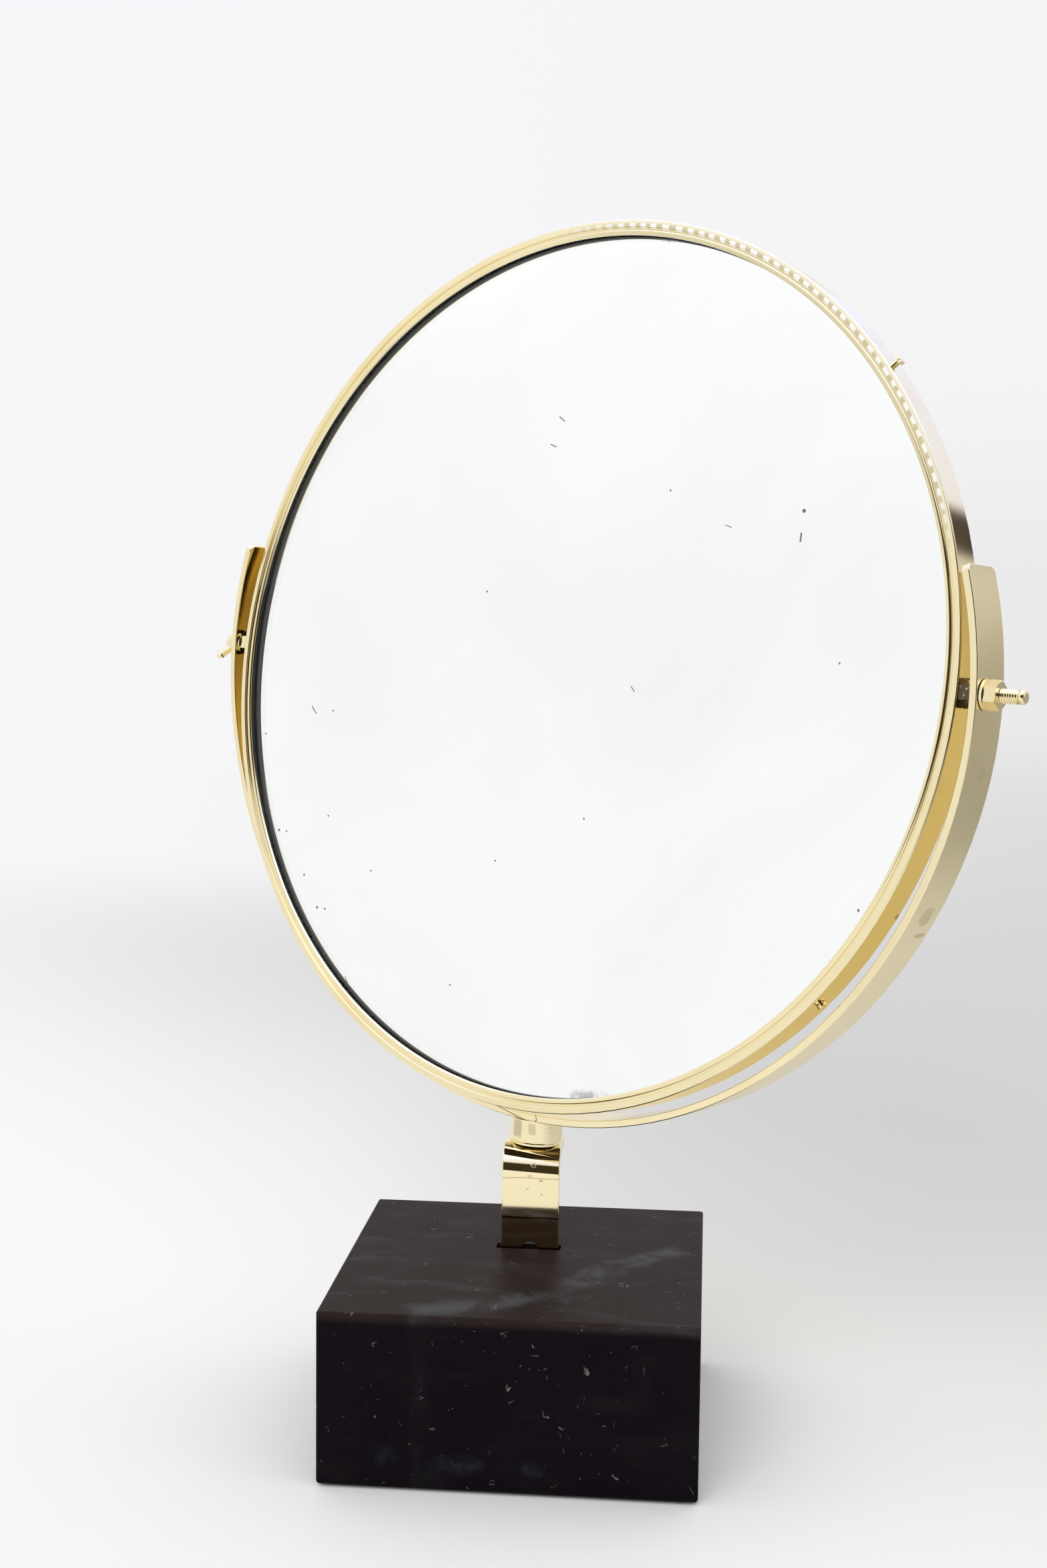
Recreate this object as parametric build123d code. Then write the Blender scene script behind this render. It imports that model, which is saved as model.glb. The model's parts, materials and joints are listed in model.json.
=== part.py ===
from build123d import *
import os
from math import cos, radians, sin, sqrt, tan

# Vanity mirror: a round glass in a brass band, tilting in a brass yoke that swivels on a bent
# brass stem let into a square marble block.
# Millimetres. +Z is up, +X is to the right along the block's front, and -Y is to the front.
# The origin is the middle of the underside of the felt that the block stands on.
# The rest pose is the pose of the photograph: the head is swivelled and the glass tilted back.

# Marble block and what it stands on
base_side = 150.0
base_height = 70.0
base_top_round = 1.0
base_corner_round = 1.2
base_foot_round = 1.6
felt_thickness = 1.0
felt_margin = 4.0
felt_corner = 3.0

# Slot for the stem, in the top of the block
slot_width = 27.6
slot_centre_x = 0.4
slot_front_y = 11.0
slot_depth = 30.0
slot_clearance = 0.15
bedding_below_top = 6.5

# Stem: a flat brass bar with one bend, whose top leg is the shelf that the head swivels on
stem_width = 24.6
stem_thickness = 5.0
stem_centre_x = 0.9
stem_bend_radius = 11.0
stem_leg_lean_back = 3.0
stem_edge_round = 0.4
stem_hole_radius = 4.0
stem_hole_below_top = 1.3
shelf_height = 113.2
shelf_behind_axis = 12.6

# How far the shelf, and so the swivel axis, is out of true
axis_lean_right = 2.8
axis_lean_back = 1.4
axis_behind_stem_front = 15.9
axis_right_of_stem = 0.6

# Swivel: bearing disc, collar, and the countersunk screw that holds them to the shelf
disc_thickness = 1.1
collar_radius = 11.4
collar_height = 10.0
collar_edge = 0.25
swivel_screw_radius = 2.95
swivel_head_radius = 5.6
swivel_screw_clearance = 0.08
swivel_slot_width = 1.2
swivel_slot_depth = 1.0
swivel_screw_end = 1.5
swivel_screw_chamfer = 0.5
spring_washer_radius = 4.8
spring_washer_thickness = 1.2
spring_washer_cone = 0.6
swivel_rest_deg = 33.8

# Mirror frame: a flat brass band with a beaded ring at each face
frame_outer_radius = 190.0
frame_thickness = 3.1
frame_depth = 15.0
frame_edge_round = 0.6
bead_width = 2.4
bead_height = 1.2
bead_round = 0.7
bead_recess = 0.1
bead_groove = 0.9
bead_flange = 0.4

# Yoke: a flat brass bar bent round the mirror, flatter below and turned in at its two ends
yoke_thickness = 3.2
yoke_width = 22.0
yoke_centre_above_pivot = 2.2
yoke_toe_start_deg = 12.0
yoke_toe_tighter = 26.5
yoke_arm_end_deg = 17.2
yoke_end_round = 3.0
yoke_edge_round = 0.45

# Glass pack, from front to back
gasket_thickness = 1.1
gasket_wall = 0.8
gasket_lip_setback = 0.2
glass_thickness = 3.0
silver_thickness = 0.1
pack_clearance = 0.1
back_plate_thickness = 0.8
back_plate_clearance = 0.3

# Radial screws through the band into the backing board
band_screw_angles = (41.0, 139.0, 221.0, 319.7)
band_screw_proud = (1.9, 0.4, 0.3, 0.3)
band_screw_behind_front = 8.0
band_screw_head_radius = 2.1
band_screw_head_height = 1.4
band_screw_head_round = 0.35
band_screw_radius = 1.2
band_screw_length = 12.0
band_screw_slot = 0.7
band_screw_slot_depth = 0.7

# Pivots: the tilt axis runs side to side, nearer the front of the band and yoke than the back
pivot_behind_yoke_front = 6.8
pivot_behind_frame_front = 5.8
tilt_rest_deg = 5.4
stud_radius = 2.85
stud_clearance = 0.08
stud_seat_inset = 0.1
right_stud_reach = 16.5
left_stud_reach = 8.4
stud_nose_length = 3.3
stud_nose_round = 2.3
stud_end_round = 1.7
stud_relief = 0.5
stud_relief_length = 0.5
hex_across_flats = 10.0
hex_chamfer = 0.6
hex_chamfer_rise = 0.35
jam_nut_height = 4.0
pivot_nut_height = 5.0
washer_radius = 6.0
washer_thickness = 1.0
inner_washer_thickness = 0.9
yoke_face_gap = 0.3

# Wing nut on the left stud
wing_hub_radius = 5.0
wing_hub_top_radius = 4.2
wing_hub_height = 4.8
wing_reach = 11.5
wing_height = 8.1
wing_foot = 0.8
wing_thickness = 2.3
wing_tip_radius = 2.6
wing_root_height = 3.8
wing_root_gap = 0.4
wing_edge_bulge = 0.9
wing_rest_deg = -47.0


# Sizes that follow from the ones above
block_top = felt_thickness + base_height
slot_floor = block_top - slot_depth
slot_thickness = stem_thickness + slot_depth * tan(radians(stem_leg_lean_back)) + 2 * slot_clearance
jam_nut_foot = frame_outer_radius
inner_washer_foot = jam_nut_foot + jam_nut_height
yoke_inner_side = inner_washer_foot + inner_washer_thickness + yoke_face_gap
yoke_side = yoke_inner_side + yoke_thickness
toe_centre_x = yoke_toe_tighter * cos(radians(yoke_toe_start_deg))
toe_centre_y = yoke_centre_above_pivot - yoke_toe_tighter * sin(radians(yoke_toe_start_deg))
yoke_toe_radius = sqrt((yoke_side - toe_centre_x) ** 2 + toe_centre_y**2)
yoke_bend_radius = yoke_toe_radius + yoke_toe_tighter
yoke_bottom = yoke_bend_radius - yoke_centre_above_pivot
frame_inner_radius = frame_outer_radius - frame_thickness
bead_outer_radius = frame_inner_radius - bead_groove
bead_inner_radius = bead_outer_radius - bead_width
gasket_inner_radius = bead_inner_radius + gasket_lip_setback
glass_radius = frame_inner_radius - gasket_wall - pack_clearance
board_radius = frame_inner_radius - back_plate_clearance

# Heights above the pivot axis in the mirror's own frame, where +Z faces the viewer
front_face = pivot_behind_frame_front
rear_face = front_face - frame_depth
front_ring_seat = front_face - bead_recess - bead_height
glass_front = front_ring_seat - gasket_thickness
glass_rear = glass_front - glass_thickness
silver_rear = glass_rear - silver_thickness
rear_ring_seat = rear_face + bead_recess + bead_height
board_rear = rear_ring_seat + back_plate_thickness
band_screw_level = front_face - band_screw_behind_front

# Distances along the pivot axis from the middle of the mirror
outer_washer_foot = yoke_side + yoke_face_gap
nut_foot = outer_washer_foot + washer_thickness
right_stud_end = yoke_side + right_stud_reach
left_stud_end = yoke_side + left_stud_reach

# Frames of the moving bodies at rest
slot_front_to_stem = slot_clearance + slot_depth * tan(radians(stem_leg_lean_back))
stem_front_y = slot_front_y + slot_front_to_stem
shelf_front_y = stem_front_y + (shelf_height - block_top) * tan(radians(stem_leg_lean_back))
seat = Pos(
    stem_centre_x + axis_right_of_stem, shelf_front_y + axis_behind_stem_front, shelf_height
)
shelf_frame = seat * Rot(0, axis_lean_right, 0) * Rot(-axis_lean_back, 0, 0)
collar_top = disc_thickness + collar_height
yoke_front = yoke_width / 2
pivot_ahead = yoke_front - pivot_behind_yoke_front
yoke_frame = shelf_frame * Pos(0, 0, collar_top + yoke_bottom) * Rot(0, 0, -swivel_rest_deg)
pivot_frame = yoke_frame * Pos(0, -pivot_ahead, 0)
yoke_disc = pivot_frame * Rot(90, 0, 0)
mirror_disc = pivot_frame * Rot(90 - tilt_rest_deg, 0, 0)
right_axis = mirror_disc * Rot(0, 90, 0)
left_axis = mirror_disc * Rot(0, -90, 0)


def ring(outer, inner, low, high):
    """Flat ring about +Z between two heights."""
    height = high - low
    solid = Pos(0, 0, low + height / 2) * Cylinder(outer, height)
    return solid - Pos(0, 0, low + height / 2) * Cylinder(inner, height * 2)


def disc(radius, low, high):
    """Flat disc about +Z between two heights."""
    return Pos(0, 0, (low + high) / 2) * Cylinder(radius, high - low)


def hexagon_nut(low, height, bore):
    """Hexagon nut about +Z with both ends' corners turned off to a cone."""
    outline = RegularPolygon(hex_across_flats / 2, 6, major_radius=False, rotation=90)
    prism = extrude(Pos(0, 0, low) * outline, height)
    corner = hex_across_flats / sqrt(3)
    cone = disc(corner, low, low + height)
    cone = chamfer(cone.edges().filter_by(GeomType.CIRCLE), hex_chamfer_rise, hex_chamfer)
    return (prism & cone) - disc(bore, low - 1, low + height + 1)


def rounded_band(outer, inner, low, high, edge):
    """Flat ring about +Z whose four long edges are eased."""
    solid = ring(outer, inner, low, high)
    return fillet(solid.edges().filter_by(GeomType.CIRCLE), edge)


def marble_base():
    middle = Pos(0, 0, felt_thickness + base_height / 2)
    block = Box(base_side, base_side, base_height)
    block = fillet(block.edges().filter_by(Axis.Z), base_corner_round)
    block = fillet(block.faces().sort_by(Axis.Z)[-1].edges(), base_top_round)
    block = fillet(block.faces().sort_by(Axis.Z)[0].edges(), base_foot_round)
    return middle * block - slot_space(block_top + 1)


def slot_space(top):
    """The slot's room from its floor up to a height."""
    height = top - slot_floor
    middle = Pos(slot_centre_x, slot_front_y + slot_thickness / 2, slot_floor + height / 2)
    return middle * Box(slot_width, slot_thickness, height)


def felt_pad():
    side = base_side - 2 * felt_margin
    sheet = Box(side, side, felt_thickness)
    sheet = fillet(sheet.edges().filter_by(Axis.Z), felt_corner)
    return Pos(0, 0, felt_thickness / 2) * sheet


def stem_bedding(stem_bar):
    return slot_space(block_top - bedding_below_top) - stem_bar


def stem_profile():
    """Side view of the bent bar, on the shelf's own Y and Z, with the swivel axis at zero."""
    lean = radians(stem_leg_lean_back - axis_lean_back)
    down = Vector(-sin(lean), -cos(lean))
    back = Vector(cos(lean), -sin(lean))
    outer = Vector(-axis_behind_stem_front, 0)
    run = shelf_height - slot_floor + stem_width
    inner = outer + back * stem_thickness + down * (stem_thickness * (1 - sin(lean)) / cos(lean))
    foot = outer + down * run
    outline = Polyline(
        outer,
        Vector(shelf_behind_axis, 0),
        Vector(shelf_behind_axis, -stem_thickness),
        inner,
        foot + back * stem_thickness,
        foot,
        close=True,
    )
    face = make_face(outline)
    corners = face.vertices()
    outer_corner = corners.sort_by_distance(Vertex(outer.X, outer.Y, 0))[0]
    face = fillet(outer_corner, stem_bend_radius)
    corners = face.vertices()
    inner_corner = corners.sort_by_distance(Vertex(inner.X, inner.Y, 0))[0]
    return fillet(inner_corner, stem_bend_radius - stem_thickness)


def stem():
    side_plane = Plane(origin=(0, 0, 0), x_dir=(0, 1, 0), z_dir=(1, 0, 0))
    bar = extrude(side_plane * stem_profile(), stem_width, both=True)
    bar = shelf_frame * bar
    top = shelf_height + stem_width
    room = Box(stem_width, base_side, top - slot_floor)
    bar = bar & Pos(stem_centre_x, seat.position.Y, (top + slot_floor) / 2) * room
    sides = bar.faces().sort_by(Axis.X)
    bar = fillet(sides[0].edges() + sides[-1].edges(), stem_edge_round)
    hole = Cylinder(stem_hole_radius, base_side, rotation=(90, 0, 0))
    bar = bar - Pos(stem_centre_x, 0, block_top - stem_hole_below_top) * hole
    bolt_room = Cylinder(swivel_screw_radius + swivel_screw_clearance, stem_width)
    return bar - shelf_frame * bolt_room


def swivel_disc():
    plate = disc(collar_radius, 0, disc_thickness)
    plate = chamfer(plate.edges().filter_by(GeomType.CIRCLE).sort_by(Axis.Z)[-1], collar_edge)
    hole = disc(swivel_screw_radius + swivel_screw_clearance, -1, disc_thickness + 1)
    return shelf_frame * (plate - hole)


def swivel_screw_shape():
    """Countersunk screw: its head lies flush in the yoke, its end below the nut."""
    top = collar_top + yoke_thickness
    cone = swivel_head_radius - swivel_screw_radius
    end = -(stem_thickness + spring_washer_thickness + pivot_nut_height + swivel_screw_end)
    head = Pos(0, 0, top - cone / 2) * Cone(swivel_screw_radius, swivel_head_radius, cone)
    shank = disc(swivel_screw_radius, end, top - cone)
    shank = chamfer(shank.edges().sort_by(Axis.Z)[0], swivel_screw_chamfer)
    return head + shank


def swivel_screw():
    screw = Rot(0, 0, -swivel_rest_deg) * swivel_screw_shape()
    top = collar_top + yoke_thickness
    slot = Box(swivel_head_radius * 3, swivel_slot_width, swivel_slot_depth * 2)
    return shelf_frame * (screw - Pos(0, 0, top) * slot)


def swivel_spring_washer():
    low = -(stem_thickness + spring_washer_thickness)
    bore = swivel_screw_radius + swivel_screw_clearance
    cup = ring(spring_washer_radius, bore, low, -stem_thickness)
    upper = cup.edges().filter_by(GeomType.CIRCLE).group_by(Axis.Z)[0].sort_by(SortBy.RADIUS)[-1]
    return shelf_frame * chamfer(upper, spring_washer_cone)


def swivel_nut():
    low = -(stem_thickness + spring_washer_thickness + pivot_nut_height)
    return shelf_frame * hexagon_nut(low, pivot_nut_height, swivel_screw_radius)


def yoke_collar():
    saddle = collar_radius**2 / yoke_bend_radius
    post = disc(collar_radius, disc_thickness, collar_top + saddle)
    post = chamfer(post.edges().filter_by(GeomType.CIRCLE).sort_by(Axis.Z)[0], collar_edge)
    post = shelf_frame * (post - disc(swivel_screw_radius, 0, collar_top + saddle))
    inside = Pos(0, yoke_centre_above_pivot) * Cylinder(yoke_bend_radius, yoke_width * 4)
    return post - yoke_disc * inside


def yoke_edge_line(inset):
    """Outer edge of the yoke in front view, or a line inside it: the bend and its two toes."""
    start = yoke_toe_start_deg
    toe = yoke_arm_end_deg + start
    radius = yoke_toe_radius - inset
    right = CenterArc((toe_centre_x, toe_centre_y), radius, -start, toe)
    left = CenterArc((-toe_centre_x, toe_centre_y), radius, 180 + start, -toe)
    bend = CenterArc(
        (0, yoke_centre_above_pivot), yoke_bend_radius - inset, 180 + start, 180 - 2 * start
    )
    return [left, bend, right]


def yoke():
    outer = yoke_edge_line(0)
    inner = yoke_edge_line(yoke_thickness)
    tips = [Line(o @ 1, i @ 1) for o, i in ((outer[0], inner[0]), (outer[2], inner[2]))]
    bar = extrude(make_face(outer + inner + tips), yoke_width)
    bar = Pos(0, 0, pivot_behind_yoke_front - yoke_width) * bar
    ends = [f for f in bar.faces().filter_by(GeomType.PLANE) if abs(f.normal_at().Z) < 0.5]
    corners = [e for f in ends for e in f.edges() if abs(e.length - yoke_thickness) < 0.01]
    bar = fillet(corners, yoke_end_round)
    rims = bar.faces().filter_by(Axis.Z)
    bar = fillet([e for rim in rims for e in rim.edges()], yoke_edge_round)
    pins = Cylinder(stud_radius + stud_clearance, 3 * yoke_bend_radius, rotation=(0, 90, 0))
    bar = yoke_disc * (bar - pins)
    return bar - shelf_frame * Rot(0, 0, -swivel_rest_deg) * swivel_screw_shape()


def bead_profile():
    """Half section of a beaded ring that stands on z = 0, with its thin flange outside."""
    middle = bead_inner_radius + bead_width / 2
    bead = Pos(middle, bead_height / 2) * Rectangle(bead_width, bead_height)
    bead = fillet(bead.vertices().group_by(Axis.Y)[-1], bead_round)
    flange_width = frame_inner_radius - bead_inner_radius
    middle = bead_inner_radius + flange_width / 2
    return bead + Pos(middle, bead_flange / 2) * Rectangle(flange_width, bead_flange)


def beaded_ring():
    section = Plane.XZ * bead_profile()
    return revolve(section, Axis.Z)


def front_retaining_ring():
    return mirror_disc * Pos(0, 0, front_ring_seat) * beaded_ring()


def rear_retaining_ring():
    return mirror_disc * Pos(0, 0, rear_ring_seat) * Rot(180, 0, 0) * beaded_ring()


def glass_gasket():
    lip = ring(frame_inner_radius, gasket_inner_radius, glass_front, front_ring_seat)
    wall = ring(frame_inner_radius, frame_inner_radius - gasket_wall, silver_rear, glass_front)
    return mirror_disc * (lip + wall)


def mirror_glass():
    return mirror_disc * disc(glass_radius, glass_rear, glass_front)


def silvering():
    return mirror_disc * disc(glass_radius, silver_rear, glass_rear)


def band_screw(angle, proud):
    """Slotted cheese-head screw that points at the middle of the mirror."""
    seat_radius = frame_outer_radius + proud
    head = disc(band_screw_head_radius, 0, band_screw_head_height)
    crown = head.edges().filter_by(GeomType.CIRCLE).sort_by(Axis.Z)[-1]
    head = fillet(crown, band_screw_head_round)
    slot = Box(band_screw_head_radius * 3, band_screw_slot, band_screw_slot_depth * 2)
    head = head - Pos(0, 0, band_screw_head_height) * Rot(0, 0, angle) * slot
    shank = disc(band_screw_radius, -band_screw_length, 0)
    place = Pos(0, 0, band_screw_level) * Rot(0, 0, angle) * Pos(seat_radius, 0, 0) * Rot(0, 90, 0)
    return mirror_disc * place * (head + shank)


def retaining_screws():
    return [band_screw(a, p) for a, p in zip(band_screw_angles, band_screw_proud)]


def screw_rods():
    """The screws' shanks alone, to bore the band and the board with."""
    rod = Pos(frame_outer_radius, 0, 0) * Rot(0, 90, 0) * disc(
        band_screw_radius, -band_screw_length - 1, band_screw_length
    )
    level = mirror_disc * Pos(0, 0, band_screw_level)
    return [level * Rot(0, 0, a) * rod for a in band_screw_angles]


def frame_band():
    band = rounded_band(
        frame_outer_radius, frame_inner_radius, rear_face, front_face, frame_edge_round
    )
    band = band - Cylinder(stud_radius, 3 * frame_outer_radius, rotation=(0, 90, 0))
    band = mirror_disc * band
    for rod in screw_rods():
        band = band - rod
    return band


def backing_board():
    board = mirror_disc * disc(board_radius, board_rear, silver_rear)
    for rod in screw_rods():
        board = board - rod
    return board


def back_plate():
    return mirror_disc * disc(board_radius, rear_ring_seat, board_rear)


def stud(end):
    """Threaded stud about +Z from inside the band, with a relief and a rounded nose."""
    start = frame_inner_radius + stud_seat_inset
    nose = end - stud_nose_length
    rod = disc(stud_radius, start, nose - stud_relief_length)
    rod = chamfer(rod.edges().filter_by(GeomType.CIRCLE).sort_by(Axis.Z)[-1], stud_relief)
    neck = disc(stud_radius - stud_relief, nose - stud_relief_length, nose)
    tip = disc(stud_radius, nose, end)
    tip = fillet(tip.edges().filter_by(GeomType.CIRCLE).sort_by(Axis.Z)[-1], stud_nose_round)
    return rod + neck + tip


def plain_stud(end):
    """Threaded stud about +Z from inside the band, with a rounded end."""
    rod = disc(stud_radius, frame_inner_radius + stud_seat_inset, end)
    return fillet(rod.edges().filter_by(GeomType.CIRCLE).sort_by(Axis.Z)[-1], stud_end_round)


def washer(radius, thickness, foot, bore):
    return ring(radius, bore, foot, foot + thickness)


def wing():
    """One wing and its half of the hub's web, in the plane of +X and +Z."""
    tip_centre_x = wing_reach - wing_tip_radius
    tip_centre_z = wing_height - wing_tip_radius
    inner = stud_radius + stud_clearance + wing_root_gap
    edge_x = tip_centre_x + wing_tip_radius * wing_edge_bulge
    edge_z = tip_centre_z - wing_tip_radius * sqrt(1 - wing_edge_bulge**2)
    shape = Polyline(
        (inner, wing_root_height),
        (inner, wing_foot),
        (wing_hub_radius, wing_foot),
        (edge_x, edge_z),
        (tip_centre_x, tip_centre_z + wing_tip_radius),
        (tip_centre_x - wing_tip_radius, tip_centre_z),
        close=True,
    )
    flat = make_face(shape) + Pos(tip_centre_x, tip_centre_z) * Circle(wing_tip_radius)
    return extrude(Plane.XZ * flat, wing_thickness / 2, both=True)


def left_wing_nut():
    bore = stud_radius + stud_clearance
    hub = Pos(0, 0, wing_hub_height / 2) * Cone(wing_hub_radius, wing_hub_top_radius, wing_hub_height)
    nut = hub + wing() + Rot(0, 0, 180) * wing()
    nut = nut - disc(bore, -1, wing_height + 1)
    return left_axis * Pos(0, 0, nut_foot) * Rot(0, 0, wing_rest_deg) * nut


def pivot_jam_nuts():
    nut = hexagon_nut(jam_nut_foot, jam_nut_height, stud_radius)
    return [right_axis * nut, left_axis * nut]


def inner_washers():
    ring_piece = washer(washer_radius, inner_washer_thickness, inner_washer_foot, stud_radius)
    return [right_axis * ring_piece, left_axis * ring_piece]


def left_clamp_washer():
    return left_axis * washer(
        washer_radius, washer_thickness, outer_washer_foot, stud_radius + stud_clearance
    )


def right_clamp_washer():
    return right_axis * washer(washer_radius, washer_thickness, outer_washer_foot, stud_radius)


def right_pivot_nut():
    return right_axis * hexagon_nut(nut_foot, pivot_nut_height, stud_radius)


def build():
    stem_bar = stem()
    return {
        "marble_base": marble_base(),
        "felt_pad": felt_pad(),
        "stem": stem_bar,
        "stem_bedding": stem_bedding(stem_bar),
        "swivel_disc": swivel_disc(),
        "swivel_screw": swivel_screw(),
        "swivel_spring_washer": swivel_spring_washer(),
        "swivel_nut": swivel_nut(),
        "yoke_collar": yoke_collar(),
        "yoke": yoke(),
        "frame_band": frame_band(),
        "front_retaining_ring": front_retaining_ring(),
        "rear_retaining_ring": rear_retaining_ring(),
        "glass_gasket": glass_gasket(),
        "mirror_glass": mirror_glass(),
        "silvering": silvering(),
        "backing_board": backing_board(),
        "back_plate": back_plate(),
        "retaining_screws": retaining_screws(),
        "left_pivot_stud": left_axis * plain_stud(left_stud_end),
        "right_pivot_stud": right_axis * stud(right_stud_end),
        "pivot_jam_nuts": pivot_jam_nuts(),
        "inner_washers": inner_washers(),
        "left_clamp_washer": left_clamp_washer(),
        "right_clamp_washer": right_clamp_washer(),
        "left_wing_nut": left_wing_nut(),
        "right_pivot_nut": right_pivot_nut(),
    }


os.makedirs("parts", exist_ok=True)
for node, shape in build().items():
    solids = shape if isinstance(shape, list) else shape.solids()
    solids = [s for item in solids for s in item.solids()]
    whole = solids[0] if len(solids) == 1 else Compound(children=solids)
    export_step(whole, f"parts/{node}.step")
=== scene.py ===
import json
import math

import bpy
from mathutils import Matrix, Vector

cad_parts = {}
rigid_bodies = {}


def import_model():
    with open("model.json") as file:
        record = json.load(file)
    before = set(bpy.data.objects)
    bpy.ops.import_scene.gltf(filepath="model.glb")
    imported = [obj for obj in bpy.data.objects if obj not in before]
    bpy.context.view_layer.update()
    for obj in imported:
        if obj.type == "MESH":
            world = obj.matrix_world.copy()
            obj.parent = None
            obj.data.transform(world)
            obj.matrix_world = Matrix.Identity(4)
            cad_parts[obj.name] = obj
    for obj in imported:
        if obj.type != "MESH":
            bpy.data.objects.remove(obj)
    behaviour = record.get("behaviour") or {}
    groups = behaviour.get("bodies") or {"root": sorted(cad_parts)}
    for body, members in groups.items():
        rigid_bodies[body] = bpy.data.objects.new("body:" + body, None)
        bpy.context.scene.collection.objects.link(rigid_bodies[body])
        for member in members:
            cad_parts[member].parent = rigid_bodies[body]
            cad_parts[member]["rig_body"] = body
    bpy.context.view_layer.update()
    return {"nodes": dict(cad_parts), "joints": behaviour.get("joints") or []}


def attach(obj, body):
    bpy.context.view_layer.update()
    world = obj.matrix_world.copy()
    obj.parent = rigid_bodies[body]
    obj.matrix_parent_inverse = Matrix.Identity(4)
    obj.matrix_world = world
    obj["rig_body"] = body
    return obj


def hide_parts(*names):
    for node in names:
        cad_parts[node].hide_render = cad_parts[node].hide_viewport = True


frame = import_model()

MM = 0.001
nodes = frame["nodes"]
joints = {joint["name"]: joint for joint in frame["joints"]}

# Places on the mirror, worked out from the frame. Outward is towards the viewer.
pivot = Vector(joints["tilt"]["pos_m"])
across = Vector(joints["tilt"]["axis"]).normalized()
upright = Vector(joints["swivel"]["axis"]).normalized()
yoke_out = across.cross(upright).normalized()


def broad_face(node, towards):
    """The direction of a node's largest face among those that look a given way."""
    faces = [f for f in nodes[node].data.polygons if f.normal.dot(towards) > 0.5]
    return max(faces, key=lambda face: face.area).normal.normalized()


mirror_out = broad_face("silvering", yoke_out)
mirror_up = mirror_out.cross(across).normalized()


def reach(node, axis, origin=pivot):
    """How far a node goes along an axis from an origin, as (least, most)."""
    along = [(v.co - origin).dot(axis) for v in nodes[node].data.vertices]
    return min(along), max(along)


def radii(node, axis, origin=pivot):
    """The least and the most that a node's corners stand off an axis."""
    away = [(v.co - origin).cross(axis).length for v in nodes[node].data.vertices]
    return min(away), max(away)


class Flow:
    """A value in a finish's nodes, written in sums like a number. Vectors and colours go
    through Vector Math, and single values through Math."""

    def __init__(self, finish, socket):
        self.finish = finish
        self.socket = socket

    @property
    def wide(self):
        return self.socket.type in ("VECTOR", "RGBA")

    def sum(self, operation, left, right):
        wide = any(isinstance(v, (tuple, Vector)) or getattr(v, "wide", False) for v in (left, right))
        kind = "ShaderNodeVectorMath" if wide else "ShaderNodeMath"
        if wide:
            left, right = [(v, v, v) if isinstance(v, (int, float)) else v for v in (left, right)]
        return self.finish.make(kind, {"operation": operation}, {0: left, 1: right})

    def __add__(self, other):
        return self.sum("ADD", self, other)

    def __radd__(self, other):
        return self.sum("ADD", other, self)

    def __sub__(self, other):
        return self.sum("SUBTRACT", self, other)

    def __rsub__(self, other):
        return self.sum("SUBTRACT", other, self)

    def __mul__(self, other):
        return self.sum("MULTIPLY", self, other)

    def __rmul__(self, other):
        return self.sum("MULTIPLY", other, self)

    def __truediv__(self, other):
        return self.sum("DIVIDE", self, other)

    def __rtruediv__(self, other):
        return self.sum("DIVIDE", other, self)

    def __pow__(self, other):
        return self.sum("POWER", self, other)

    def __neg__(self):
        return self * -1

    def __abs__(self):
        return self.finish.make("ShaderNodeMath", {"operation": "ABSOLUTE"}, {0: self})

    def along(self, direction):
        """This vector's length along a direction."""
        settings = {"operation": "DOT_PRODUCT"}
        return self.finish.make("ShaderNodeVectorMath", settings, {0: self, 1: direction}, out="Value")

    def rise(self, low, high):
        """0 at low, 1 at high, and smooth between them. Low may be the larger."""
        settings = {"interpolation_type": "SMOOTHSTEP", "clamp": True}
        inputs = {"Value": self, "From Min": low, "From Max": high}
        return self.finish.make("ShaderNodeMapRange", settings, inputs)

    def most(self, other):
        return self.sum("MAXIMUM", self, other)


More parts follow.
